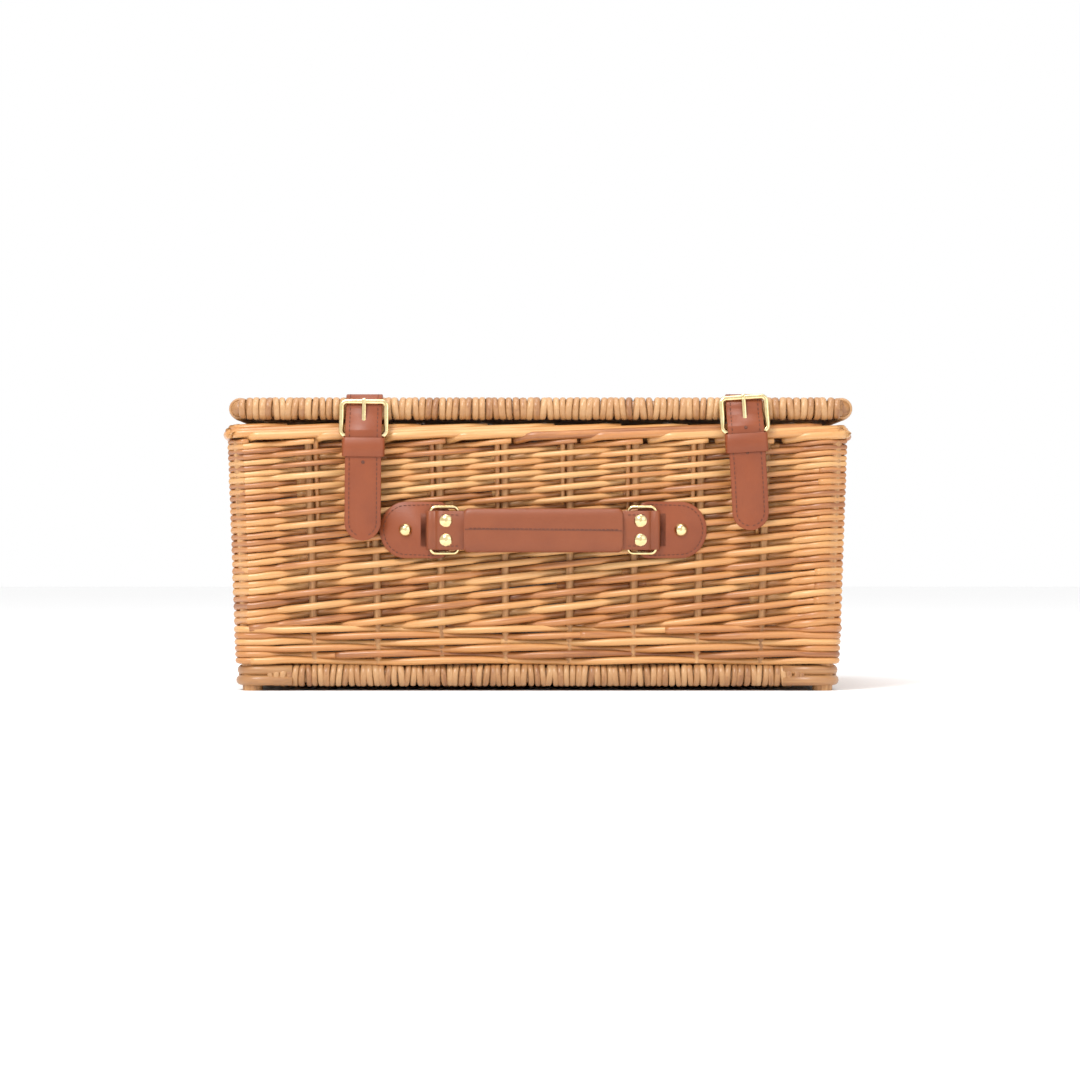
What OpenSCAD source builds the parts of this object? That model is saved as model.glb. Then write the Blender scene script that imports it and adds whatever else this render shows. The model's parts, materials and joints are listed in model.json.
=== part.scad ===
// Willow picnic hamper: a flared rectangular basket, a hinged woven lid,
// two leather straps with brass buckles, and a leather carrying handle on the front.

/* [Basket] */
// Half of the walls' outer width at the floor
base_half_w = 213; // [190:1:240]
// Half of the walls' outer depth at the floor
base_half_d = 148; // [130:1:170]
// How far each wall leans out between the floor and the rim
flare = 7; // [3:0.5:9]
// Height of the rim above the floor
body_h = 189; // [180:1:200]
// Thickness of a woven wall, over its stakes
wall_t = 13; // [12:0.5:15]
// Diameter of the thick stick in each corner
post_d = 14; // [12:0.5:16]
// Diameter of a wall stake
stake_d = 5.4; // [4:0.2:6]
// Number of stakes in the front and in the back wall
long_stakes = 8; // [5:1:10]
// Number of stakes in each side wall
short_stakes = 5; // [3:1:7]
// Top of the wrapped base rail
base_rail_top = 19; // [17:0.5:22]
// Top of the closely woven bottom band
waling_top = 45; // [35:1:60]

/* [Rim] */
// Half of the rim's outer width
rim_half_w = 223; // [221:0.5:250]
// Half of the rim's outer depth
rim_half_d = 156; // [155:0.5:158]
// Height of the rim's rods
rim_h = 12.6; // [10:0.2:14]
// Width of the rim's rods
rim_w = 16; // [14:0.5:18]

/* [Lid] */
// Radius of the lid's wrapped rail
rail_r = 8; // [7:0.5:9]
// Radius of the bare rail under a hinge loop
neck_r = 6; // [4.5:0.1:6]
// Height of the lid rail's centre line
rail_z = 199; // [198.5:0.5:201]
// Half of the distance between the side rails' centre lines
rail_half_w = 212.5; // [200:0.5:216]
// How far the lid sits off centre
lid_shift = 2.2; // [-3:0.1:3]
// Thickness of the woven lid panel
panel_t = 8; // [6:0.5:10]
// Number of lid sticks
lid_stick_count = 8; // [4:1:12]

/* [Straps] */
// Width of a strap
strap_w = 25.5; // [20:0.5:26]
// Thickness of a strap
strap_t = 1.8; // [1.4:0.1:1.9]
// Length of strap that lies on top of the lid
strap_on_lid = 62; // [45:1:80]
// Radius of the buckle wire
wire_r = 1.3; // [1:0.1:1.4]
// Outer width of a buckle
buckle_w = 34; // [33:0.5:40]
// Height between a buckle's two bars
buckle_h = 23.8; // [22:0.2:26]
// Height of a strap keeper
keeper_h = 13.4; // [10:0.2:14]

/* [Handle] */
// Sideways place of the handle's centre
handle_x = 4; // [-20:1:20]
// Height of the handle's centre
handle_z = 113.5; // [90:0.5:120]
// Half of the length of the grip
grip_half = 57; // [52:0.5:57]
// Height of the grip
grip_h = 31; // [28:0.5:33]
// Thickness of the grip
grip_t = 9; // [9:0.1:10]
// Height of the handle strap's end loops
tab_h = 27.4; // [24:0.2:28]
// Height of a handle patch
patch_h = 40; // [34:0.5:44]

/* [Hidden] */
$fn = 64;
slack = 0.05;
leather_t = 1.6;
rail_back_y = rim_half_d + slack + 1.9 - rail_r;
rail_front_y = -147.5;
lean = atan(flare / body_h);
post_inset = post_d / 2 + 4.5;
corner_w = 2 * post_inset;
base_low = 3;
base_w = 20;
floor_low = 7;
floor_t = 5;
floor_stick_d = 6;
lining_floor = base_rail_top + 0.15;
lining_gap = 1.3;
lining_t = 1.2;
rim_low = body_h - rim_h;
left_x = -121.8;
right_x = 145.1;
left_turn = 0.7;
right_turn = -3.5;
left_lift = 0;
right_lift = 3;
left_tip_z = 106;
right_tip_z = 113;
left_hole_z = 176.6;
right_hole_z = 184;
hole_pitch = 15.8;
heel_z = 179.8;
heel_y = -160.5;
stud_x = 96.9;
tab_rivet_x = 68.2;
tab_rivet_z = 6.75;
pivot_x = 60;
pivot_d = 2.95;
loop_x = 79;
loop_d = 4.9;
ring_r = 1.2;
ring_h = 32.4;
grip_d = 10;
hinge_x = 121;
hinge_w = 22;
hinge_rivet_z = 182.5;
centre_y = 3.65;

willow = [0.80, 0.55, 0.30];
stick = [0.62, 0.47, 0.30];
tan_leather = [0.66, 0.34, 0.20];
brass = [0.85, 0.74, 0.45];
cloth = [0.55, 0.55, 0.53];

// ---------- shared shapes ----------

// Outer reach of the walls at height z
function half_w(z) = base_half_w + flare * z / body_h;
function half_d(z) = base_half_d + flare * z / body_h;
function wall_y(z) = -half_d(z);

// Directions along a line of points, and the two edges of a strip laid along it
function unit(v) = v / norm(v);
function heading(p, i) =
    unit((i < len(p) - 1 ? unit(p[i + 1] - p[i]) : [0, 0]) + (i > 0 ? unit(p[i] - p[i - 1]) : [0, 0]));
function side(p, i, d) = p[i] + d * [-heading(p, i)[1], heading(p, i)[0]];
function strip(p, t) = concat(
    [for (i = [0 : len(p) - 1]) side(p, i, t / 2)],
    [for (i = [len(p) - 1 : -1 : 0]) side(p, i, -t / 2)]);
function arc(c, r, a0, a1, steps = 8) =
    [for (i = [0 : steps]) let (a = a0 + (a1 - a0) * i / steps) c + r * [cos(a), sin(a)]];

// Puts everything so that the whole object is centred over the origin
module centred() {
    translate([0, centre_y, 0]) children();
}

// Straight round stick from p to q
module rod(p, q, r) {
    v = q - p;
    translate(p) rotate([0, acos(v[2] / norm(v)), atan2(v[1], v[0])]) cylinder(h = norm(v), r = r);
}

// Rectangle with round corners, centred, rising from 0
module round_plate(hx, hy, r, h) {
    translate([-hx, -hy + r, 0]) cube([2 * hx, 2 * hy - 2 * r, h]);
    translate([-hx + r, -hy, 0]) cube([2 * hx - 2 * r, 2 * hy, h]);
    for (sx = [-1, 1], sy = [-1, 1])
        translate([sx * (hx - r), sy * (hy - r), 0]) cylinder(h = h, r = r);
}

// Children drawn on a wall: x along it, y = 0 on its outer face, z up it
module on_wall(turn, reach) {
    rotate([0, 0, turn]) translate([0, -reach, 0]) rotate([lean, 0, 0]) children();
}

// One woven wall from z0 to z1, with square channels for its stakes
module wall_panel(reach_along, z0, z1, count) {
    difference() {
        translate([0, wall_t, 0]) rotate([90, 0, 0]) linear_extrude(wall_t) polygon([
            for (p = [[-1, z0], [1, z0], [1, z1], [-1, z1]])
                [p[0] * (reach_along + flare * p[1] / body_h - corner_w - 0.3), p[1]]]);
        wall_stake_places(reach_along, count)
            translate([-stake_d / 2 - 0.1, -stake_d / 2 - 0.1, -20])
                cube([stake_d + 0.2, stake_d + 0.2, body_h + 40]);
    }
}

// Children at each stake of a wall, leaning as the wall flares
module wall_stake_places(reach_along, count) {
    span = reach_along - post_inset;
    for (i = [1 : count]) {
        part = -1 + 2 * i / (count + 1);
        translate([part * span, wall_t / 2, 0]) rotate([0, part * lean, 0]) children();
    }
}

module wall_stakes(reach_along, count) {
    wall_stake_places(reach_along, count)
        translate([0, 0, base_rail_top + 0.4]) cylinder(h = rim_low - base_rail_top - 0.8, d = stake_d);
}

// Leaning column in each corner, cut level at both ends
module corner_columns(r, z0, z1) {
    reach = flare * (body_h + 60) / body_h;
    intersection() {
        union() for (sx = [-1, 1], sy = [-1, 1])
            rod([sx * (base_half_w - post_inset), sy * (base_half_d - post_inset), 0]
                    - 30 / (body_h + 60) * [sx * reach, sy * reach, body_h + 60],
                [sx * (base_half_w - post_inset + reach), sy * (base_half_d - post_inset + reach),
                    body_h + 60], r);
        translate([-300, -300, z0]) cube([600, 600, z1 - z0]);
    }
}

// Domed rivet along -y: head outside at y = 0, shank and washer behind it
module rivet(head_d, head_h, shank_r, grip, washer_d) {
    rotate([90, 0, 0]) intersection() {
        cylinder(h = head_h, d = head_d);
        translate([0, 0, head_h - dome_r(head_d, head_h)]) sphere(r = dome_r(head_d, head_h), $fn = 48);
    }
    rotate([-90, 0, 0]) cylinder(h = grip, r = shank_r);
    translate([0, grip, 0]) rotate([-90, 0, 0]) cylinder(h = 0.8, d = washer_d);
}
function dome_r(d, h) = (d * d / 4 + h * h) / (2 * h);

// ---------- basket ----------

module base_frame() color(willow) centred() difference() {
    translate([0, 0, base_low]) round_plate(base_half_w, base_half_d, 12, base_rail_top - base_low);
    translate([-base_half_w + base_w, -base_half_d + base_w, 0])
        cube([2 * (base_half_w - base_w), 2 * (base_half_d - base_w), base_rail_top + 1]);
    corner_columns(post_d / 2 + slack, -1, base_rail_top + 1);
}

module base_weave() color(willow) centred()
    translate([-base_half_w + base_w + slack, -base_half_d + base_w + slack, floor_low])
        cube([2 * (base_half_w - base_w - slack), 2 * (base_half_d - base_w - slack), floor_t]);

module base_sticks() color(stick) centred() {
    count = 9;
    for (i = [1 : count])
        translate([(-1 + 2 * i / (count + 1)) * (base_half_w - base_w), base_half_d - base_w - 0.1,
                floor_low + floor_t + floor_stick_d / 2 + slack])
            rotate([90, 0, 0]) cylinder(h = 2 * (base_half_d - base_w - 0.1), d = floor_stick_d);
}

module bottom_waling() color(willow) centred() {
    for (turn = [0, 180])
        on_wall(turn, base_half_d)
            wall_panel(base_half_w, base_rail_top + 0.6, waling_top, long_stakes);
    for (turn = [90, 270])
        on_wall(turn, base_half_w)
            wall_panel(base_half_d, base_rail_top + 0.6, waling_top, short_stakes);
}

module long_wall(turn) color(willow) centred()
    on_wall(turn, base_half_d) wall_panel(base_half_w, waling_top + slack, rim_low - 0.6, long_stakes);
module short_wall(turn) color(willow) centred()
    on_wall(turn, base_half_w) wall_panel(base_half_d, waling_top + slack, rim_low - 0.6, short_stakes);

// The front wall has four small holes: one for each patch stud and one for each chape rivet
module front_weave() color(willow) centred() difference() {
    on_wall(0, base_half_d)
        wall_panel(base_half_w, waling_top + slack, rim_low - 0.6, long_stakes);
    for (s = [-1, 1])
        on_front(s * stud_x) rotate([90, 0, 0]) translate([0, 0, -20]) cylinder(h = 30, r = 1.6);
    hang_left() chape_bore();
    hang_right() chape_bore();
}
module back_weave() long_wall(180);
module left_weave() short_wall(270);
module right_weave() short_wall(90);

module front_stakes() color(stick) centred() on_wall(0, base_half_d) wall_stakes(base_half_w, long_stakes);
module back_stakes() color(stick) centred() on_wall(180, base_half_d) wall_stakes(base_half_w, long_stakes);
module left_stakes() color(stick) centred() on_wall(270, base_half_w) wall_stakes(base_half_d, short_stakes);
module right_stakes() color(stick) centred() on_wall(90, base_half_w) wall_stakes(base_half_d, short_stakes);

module corner_posts() color(stick) centred() corner_columns(post_d / 2, 0, rim_low - 0.1);

module corner_wraps() color(willow) centred() difference() {
    corner_columns(post_inset, base_rail_top + slack, rim_low - 0.2);
    corner_columns(post_d / 2 + slack, base_rail_top - 1, rim_low + 1);
}

module top_border() color(willow) centred() translate([0, 0, rim_low]) difference() {
    round_plate(rim_half_w, rim_half_d, 12, rim_h);
    translate([-rim_half_w + rim_w, -rim_half_d + rim_w, -1])
        cube([2 * (rim_half_w - rim_w), 2 * (rim_half_d - rim_w), rim_h + 2]);
    for (s = [-1, 1])
        translate([s * hinge_x, rim_half_d - rim_w - 1, hinge_rivet_z - rim_low])
            rotate([-90, 0, 0]) cylinder(h = rim_w + 2, r = 1.55);
}

// Cloth lining: a thin open box with cut corners that follows the walls
function lining_outline(z, inset) = let (
        x = half_w(z) - wall_t - lining_gap - inset,
        y = half_d(z) - wall_t - lining_gap - inset,
        c = 13 - 0.6 * inset)
    [[-x + c, -y], [x - c, -y], [x, -y + c], [x, y - c], [x - c, y], [-x + c, y], [-x, y - c], [-x, -y + c]];
module lining_block(z0, z1, inset) hull() {
    translate([0, 0, z0]) linear_extrude(0.01) polygon(lining_outline(z0, inset));
    translate([0, 0, z1]) linear_extrude(0.01) polygon(lining_outline(z1, inset));
}
module lining() color(cloth) centred() difference() {
    lining_block(lining_floor, rim_low - 4, 0);
    lining_block(lining_floor + lining_t, rim_low + 4, lining_t);
}

// ---------- hinges ----------

module hinge_strap(x) color(tan_leather) centred() translate([x - hinge_w / 2, 0, 0]) difference() {
    union() {
        translate([0, rail_back_y, rail_z]) rotate([0, 90, 0]) cylinder(h = hinge_w, r = rail_r);
        translate([0, rail_back_y + neck_r + 0.08, hinge_rivet_z - 8])
            cube([hinge_w, rail_r - neck_r - 0.08, rail_z - hinge_rivet_z + 8]);
    }
    translate([-1, rail_back_y, rail_z]) rotate([0, 90, 0]) cylinder(h = hinge_w + 2, r = neck_r + 0.08);
    translate([hinge_w / 2, rail_back_y, hinge_rivet_z]) rotate([-90, 0, 0]) cylinder(h = 20, r = 1.55);
}
module hinge_strap_left() hinge_strap(-hinge_x);
module hinge_strap_right() hinge_strap(hinge_x);

module hinge_rivets() color(brass) centred() for (s = [-1, 1])
    translate([s * hinge_x, rail_back_y + rail_r + slack, hinge_rivet_z])
        rotate([0, 0, 180]) rivet(8, 1.5, 1.5, rim_w + rail_r - neck_r + 0.1, 7);

// ---------- lid ----------

// The back rail is bare and thinner where the two hinge loops go round it
module lid_frame() color(willow) centred() translate([lid_shift, 0, rail_z]) {
    for (s = [-1, 1]) translate([s * rail_half_w, 0, 0])
        rod([0, rail_front_y, 0], [0, rail_back_y, 0], rail_r);
    rod([-rail_half_w, rail_front_y, 0], [rail_half_w, rail_front_y, 0], rail_r);
    rod([-rail_half_w, rail_back_y, 0], [rail_half_w, rail_back_y, 0], neck_r);
    for (span = [[-rail_half_w, -hinge_x - lid_shift - hinge_w / 2 - 0.5],
            [-hinge_x - lid_shift + hinge_w / 2 + 0.5, hinge_x - lid_shift - hinge_w / 2 - 0.5],
            [hinge_x - lid_shift + hinge_w / 2 + 0.5, rail_half_w]])
        rod([span[0], rail_back_y, 0], [span[1], rail_back_y, 0], rail_r);
    for (sx = [-1, 1], y = [rail_front_y, rail_back_y])
        translate([sx * rail_half_w, y, 0]) sphere(r = rail_r);
}

// The panel is notched behind each hinge loop, so that the loop can stay still as the lid turns
module lid_weave() color(willow) centred() translate([lid_shift, 0, rail_z]) difference() {
    translate([-rail_half_w + rail_r + slack, rail_front_y + rail_r + slack, -panel_t / 2])
        cube([2 * (rail_half_w - rail_r - slack), rail_back_y - rail_front_y - 2 * rail_r - 2 * slack, panel_t]);
    for (s = [-1, 1]) translate([s * hinge_x - lid_shift - hinge_w / 2 - 2, rail_back_y - rail_r - 4, -panel_t])
        cube([hinge_w + 4, 10, 2 * panel_t]);
    lid_stick_places() translate([-2.6, rail_front_y + rail_r, -2.6])
        cube([5.2, rail_back_y - rail_front_y - 2 * rail_r, 5.2]);
    for (x = [left_x, right_x], k = [0, 1])
        translate([x - lid_shift, anchor_y(k), -panel_t]) cylinder(h = 2 * panel_t, r = 1.55);
}
module lid_stick_places() for (i = [1 : lid_stick_count])
    translate([(-1 + 2 * i / (lid_stick_count + 1)) * rail_half_w + 3, 0, 0]) children();
module lid_sticks() color(stick) centred() translate([lid_shift, 0, rail_z]) lid_stick_places()
    rod([0, rail_front_y + rail_r + 0.4, 0], [0, rail_back_y - rail_r - 4.5, 0], 2.5);

// ---------- straps ----------

function anchor_y(k) = rail_front_y - rail_r + strap_on_lid - 8 - 16 * k;
strap_r = rail_r + 0.2 + strap_t / 2;
bend = [rail_front_y, rail_z];
// Place of a buckle's upper bar, in front of the strap's bend
function bar_r(lift) = strap_r + strap_t / 2 + wire_r + 0.3 + 0.13 * lift;
function bar_y(lift) = rail_front_y - sqrt(pow(bar_r(lift), 2) - pow(heel_z + buckle_h + lift - rail_z, 2));

// A strap's course, as y and z of its middle
function top_course() = concat(
    [[rail_front_y - rail_r + strap_on_lid, rail_z + panel_t / 2 + strap_t / 2 + 0.1],
        [rail_front_y + 22, rail_z + panel_t / 2 + strap_t / 2 + 0.1]],
    arc(bend, strap_r, 78, 180, 9));
function tail_course(lift, tip_z) = [
    [rail_front_y - strap_r, rail_z + 1.2], [rail_front_y - strap_r, rail_z - 1], [-158.2, 194.5],
    [-161.2, 189.5 + lift / 2], [-163.9, 184.5 + lift], [-164.6, 179.5 + lift], [-164.6, 153],
    [-163, 139], [-160, tip_z + 13],
    [-159.4, tip_z]];

// Children in the plane of a hanging strap, turned about the lid's front edge
module hang(x, turn) translate([x, 0, rail_z]) rotate([0, turn, 0]) translate([0, 0, -rail_z]) children();
module hang_left() hang(left_x, left_turn) children();
module hang_right() hang(right_x, right_turn) children();

// Strip with its course in the y-z plane, its width along x
module strap_strip(course, w, t) rotate([90, 0, 90]) translate([0, 0, -w / 2])
    linear_extrude(w) polygon(strip(course, t));

module strap_top(x) difference() {
    translate([x, 0, 0]) strap_strip(top_course(), strap_w, strap_t);
    for (k = [0, 1]) translate([x, anchor_y(k), rail_z]) cylinder(h = 30, r = 1.55);
}
module strap_top_left() color(tan_leather) centred() strap_top(left_x);
module strap_top_right() color(tan_leather) centred() strap_top(right_x);

// The tail ends in a half round tip and has a row of prong holes
module strap_tail(lift, tip_z, slot_z, hole_z) difference() {
    intersection() {
        strap_strip(tail_course(lift, tip_z), strap_w, strap_t);
        translate([0, -140, 0]) rotate([90, 0, 0]) linear_extrude(40) union() {
            translate([-strap_w / 2, tip_z + strap_w / 2]) square([strap_w, 120]);
            translate([0, tip_z + strap_w / 2]) circle(d = strap_w);
        }
    }
    translate([-1.7, -170, slot_z - 4.2]) cube([3.4, 20, 8]);
    for (k = [0, 1]) translate([0, -150, hole_z - k * hole_pitch]) rotate([90, 0, 0]) cylinder(h = 30, r = 1.25);
}
module below_bend() intersection() {
    children();
    translate([-300, -300, 0]) cube([600, 600, rail_z - 0.2]);
}
module strap_tail_left() color(tan_leather) centred() below_bend()
    hang_left() strap_tail(left_lift, left_tip_z, 190, left_hole_z);
module strap_tail_right() color(tan_leather) centred() below_bend()
    hang_right() strap_tail(right_lift, right_tip_z, 191.7, right_hole_z);

// Two rivets hold each strap to the lid, with their washers under the panel
module strap_rivets() color(brass) centred() for (x = [left_x, right_x], k = [0, 1])
    translate([x, anchor_y(k), rail_z + panel_t / 2 + strap_t + 0.15])
        rotate([-90, 0, 0]) rivet(8, 1.5, 1.5, panel_t + strap_t + 0.2, 7);

// ---------- buckles ----------

module buckle(lift) {
    heel = [heel_y, heel_z + lift];
    bar = [bar_y(lift), heel_z + buckle_h + lift];
    half = buckle_w / 2 - wire_r;
    for (p = [heel, bar]) {
        rod([-half, p[0], p[1]], [half, p[0], p[1]], wire_r);
        for (s = [-1, 1]) translate([s * half, p[0], p[1]]) sphere(r = wire_r + 0.04);
    }
    for (s = [-1, 1]) rod([s * half, heel[0], heel[1]], [s * half, bar[0], bar[1]], wire_r);
}
module buckle_left() color(brass) centred() hang_left() buckle(left_lift);
module buckle_right() color(brass) centred() hang_right() buckle(right_lift);

// The prong is curled round the lower bar and rests on the upper one
module prong(lift) {
    bar = [bar_y(lift), heel_z + buckle_h + lift];
    curl_r = wire_r + 0.05;
    difference() {
        union() {
            translate([-1.3, heel_y, heel_z + lift]) rotate([0, 90, 0]) cylinder(h = 2.6, r = curl_r + 1.1);
            rotate([90, 0, 90]) translate([0, 0, -1.3]) linear_extrude(2.6) polygon(strip([
                [heel_y - curl_r + 0.6, heel_z + lift + 1.2], [heel_y - 0.7, heel_z + lift + 6],
                [bar[0] - wire_r - 0.85, bar[1] - 2.5], [bar[0] - wire_r - 0.85, bar[1] + 2.3]], 1.6));
        }
        translate([-3, heel_y, heel_z + lift]) rotate([0, 90, 0]) cylinder(h = 6, r = curl_r);
    }
}
module prong_left() color(brass) centred() hang_left() prong(left_lift);
module prong_right() color(brass) centred() hang_right() prong(right_lift);

// The chape is the short strap that holds the buckle: folded round the lower bar, riveted to the wall
chape_w = 24;
chape_low = 138;
chape_rivet_z = 144;
function chape_course(lift) = concat(
    [[wall_y(chape_low) - 2.65, chape_low], [wall_y(148) - 2.65, 148], [heel_y - 2.2, 155],
        [heel_y - 2.2, heel_z + lift - 0.5]],
    arc([heel_y, heel_z + lift], 2.2, 180, 0),
    [[heel_y + 2.2, heel_z + lift - 0.5], [heel_y + 2.2, 159], [wall_y(152) - 0.95, 152],
        [wall_y(chape_low) - 0.95, chape_low]]);
module chape(lift) difference() {
    strap_strip(chape_course(lift), chape_w, leather_t);
    translate([-2, heel_y - 10, heel_z + lift - 3]) cube([4, 20, 12]);
    chape_bore();
}
module chape_bore() translate([0, wall_y(chape_rivet_z) + 20, chape_rivet_z])
    rotate([90, 0, 0]) cylinder(h = 40, r = 1.55);
module chape_left() color(tan_leather) centred() hang_left() chape(left_lift);
module chape_right() color(tan_leather) centred() hang_right() chape(right_lift);

module chape_rivet() translate([0, wall_y(chape_rivet_z) - 3.75, chape_rivet_z])
    rivet(7, 1, 1.5, wall_t + 3.95, 7);
module chape_rivets() color(brass) centred() {
    hang_left() chape_rivet();
    hang_right() chape_rivet();
}

// The keeper is a closed leather loop round the chape and the tail
module keeper(lift) {
    low = heel_z + lift - 1.6 - keeper_h;
    translate([0, 0, low]) difference() {
        translate([-strap_w / 2 - 2.2, -167.1, 0]) cube([strap_w + 4.4, 10.8, keeper_h]);
        translate([-strap_w / 2 - 0.8, -165.8, -1]) cube([strap_w + 1.6, 8.4, keeper_h + 2]);
    }
}
module keeper_left() color(tan_leather) centred() hang_left() keeper(left_lift);
module keeper_right() color(tan_leather) centred() hang_right() keeper(right_lift);

// ---------- handle ----------

// Children beside the handle's centre on the front wall: x along it, -y away from it
module on_front(x) translate([handle_x + x, wall_y(handle_z), handle_z]) rotate([lean, 0, 0]) children();
module mirrored(s) mirror([s < 0 ? 1 : 0, 0, 0]) children();

// Strip with its course in the x-y plane, its height along z
module upright_strip(course, h, t) translate([0, 0, -h / 2]) linear_extrude(h) polygon(strip(course, t));

// A patch lies on the wall; its tongue folds round the ring's inner bar
module patch() difference() {
    union() {
        translate([patch_mid, 0, 0]) rotate([90, 0, 0]) translate([0, 0, slack]) {
            translate([-patch_half, -patch_h / 2 + 14, 0]) cube([2 * patch_half, patch_h - 28, leather_t]);
            translate([-patch_half + 14, -patch_h / 2, 0]) cube([2 * patch_half - 28, patch_h, leather_t]);
            for (sx = [-1, 1], sy = [-1, 1])
                translate([sx * (patch_half - 14), sy * (patch_h / 2 - 14), 0]) cylinder(h = leather_t, r = 14);
        }
        upright_strip(concat(
            [[patch_mid, -slack - leather_t / 2], [pivot_x + 0.3, -slack - leather_t / 2]],
            arc([pivot_x, -pivot_d], pivot_d - slack - leather_t / 2, 90, 270),
            [[pivot_x + 3, -pivot_d - 1.9], [pivot_x + 7.5, -leather_t * 1.5 - 0.1],
                [pivot_x + 10.5, -leather_t * 1.5 - 0.1]]), 24, leather_t);
    }
    translate([stud_x, 5, 0]) rotate([90, 0, 0]) cylinder(h = 10, r = 1.6);
}
patch_half = 24.4;
patch_mid = 90.6;
module patch_left() color(tan_leather) centred() on_front(0) mirrored(-1) patch();
module patch_right() color(tan_leather) centred() on_front(0) mirrored(1) patch();

// Domed studs hold the patches; their shanks go through the wall to washers inside it
module patch_studs() color(brass) centred() for (s = [-1, 1])
    on_front(s * stud_x) translate([0, -leather_t - 2 * slack, 0]) {
        rotate([90, 0, 0]) intersection() {
            cylinder(h = 3.4, d = 9.6);
            translate([0, 0, 3.4 - dome_r(9.6, 3.4)]) sphere(r = dome_r(9.6, 3.4), $fn = 48);
        }
        rotate([-90, 0, 0]) cylinder(h = wall_t + leather_t + 0.1, r = 1.5);
    }
module stud_washers() color(brass) centred() for (s = [-1, 1])
    on_front(s * stud_x) translate([0, wall_t + 0.02, 0]) rotate([-90, 0, 0]) difference() {
        cylinder(h = 0.35, d = 11);
        translate([0, 0, -1]) cylinder(h = 3, r = 1.55);
    }

// Rectangular wire ring between a patch and the handle strap
module ring() {
    half = ring_h / 2;
    for (p = [[pivot_x, -pivot_d], [loop_x, -loop_d]]) {
        translate([p[0], p[1], -half]) cylinder(h = 2 * half, r = ring_r);
        for (sz = [-1, 1]) translate([p[0], p[1], sz * half]) sphere(r = ring_r + 0.04);
    }
    for (sz = [-1, 1]) rod([pivot_x, -pivot_d, sz * half], [loop_x, -loop_d, sz * half], ring_r);
}
module ring_left() color(brass) centred() on_front(0) mirrored(-1) ring();
module ring_right() color(brass) centred() on_front(0) mirrored(1) ring();

// One strap runs through the grip; each end goes round a ring and is riveted back on itself
module strap_end() difference() {
    upright_strip(concat(
        [[grip_half - 0.5, -9.6], [loop_x - 6.7, -9.6], [loop_x - 3.7, -loop_d - 2.3]],
        arc([loop_x, -loop_d], 2.3, -90, 90),
        [[loop_x - 3.7, -loop_d + 2.3], [loop_x - 8.4, -7.95], [grip_half - 1, -7.95]]), tab_h, leather_t);
    tab_bores();
}
module tab_bores() for (sz = [-1, 1])
    translate([tab_rivet_x, 0, sz * tab_rivet_z]) rotate([90, 0, 0]) cylinder(h = 14, r = 1.55);
module handle_strap() color(tan_leather) centred() on_front(0) {
    mirrored(-1) strap_end();
    mirrored(1) strap_end();
    translate([-grip_half, -7.95 - leather_t / 2, -10]) cube([2 * grip_half, leather_t, 20]);
}

module grip_bar(h, t, half) for (sz = [-1, 1]) {
    translate([-half, -grip_d, sz * (h / 2 - t / 2)]) rotate([0, 90, 0]) cylinder(h = 2 * half, d = t);
    if (sz > 0) translate([-half, -grip_d - t / 2, -h / 2 + t / 2]) cube([2 * half, t, h - t]);
}
module handle_grip() color(tan_leather) centred() on_front(0) difference() {
    grip_bar(grip_h, grip_t, grip_half - 1.2);
    grip_bar(grip_h - 2 * leather_t, grip_t - 2 * leather_t, grip_half + 1);
}
module handle_core() color(stick) centred() on_front(0)
    translate([-grip_half + 2, -12.4, -11]) cube([2 * grip_half - 4, 3.6, 22]);

module handle_rivets() color(brass) centred() for (sx = [-1, 1], sz = [-1, 1])
    on_front(sx * tab_rivet_x) translate([0, -9.6 - leather_t / 2 - slack, sz * tab_rivet_z])
        rivet(8.9, 1.9, 1.5, 2 * leather_t + 0.15, 4.6);

base_frame();
base_weave();
base_sticks();
bottom_waling();
front_weave();
back_weave();
left_weave();
right_weave();
front_stakes();
back_stakes();
left_stakes();
right_stakes();
corner_posts();
corner_wraps();
top_border();
lining();
hinge_strap_left();
hinge_strap_right();
hinge_rivets();
lid_frame();
lid_weave();
lid_sticks();
strap_top_left();
strap_top_right();
strap_rivets();
strap_tail_left();
strap_tail_right();
buckle_left();
buckle_right();
prong_left();
prong_right();
keeper_left();
keeper_right();
chape_left();
chape_right();
chape_rivets();
patch_left();
patch_right();
patch_studs();
stud_washers();
ring_left();
ring_right();
handle_strap();
handle_core();
handle_grip();
handle_rivets();
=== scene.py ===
"""Looks of a willow picnic basket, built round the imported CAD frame."""

import json
import math
import random

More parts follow.
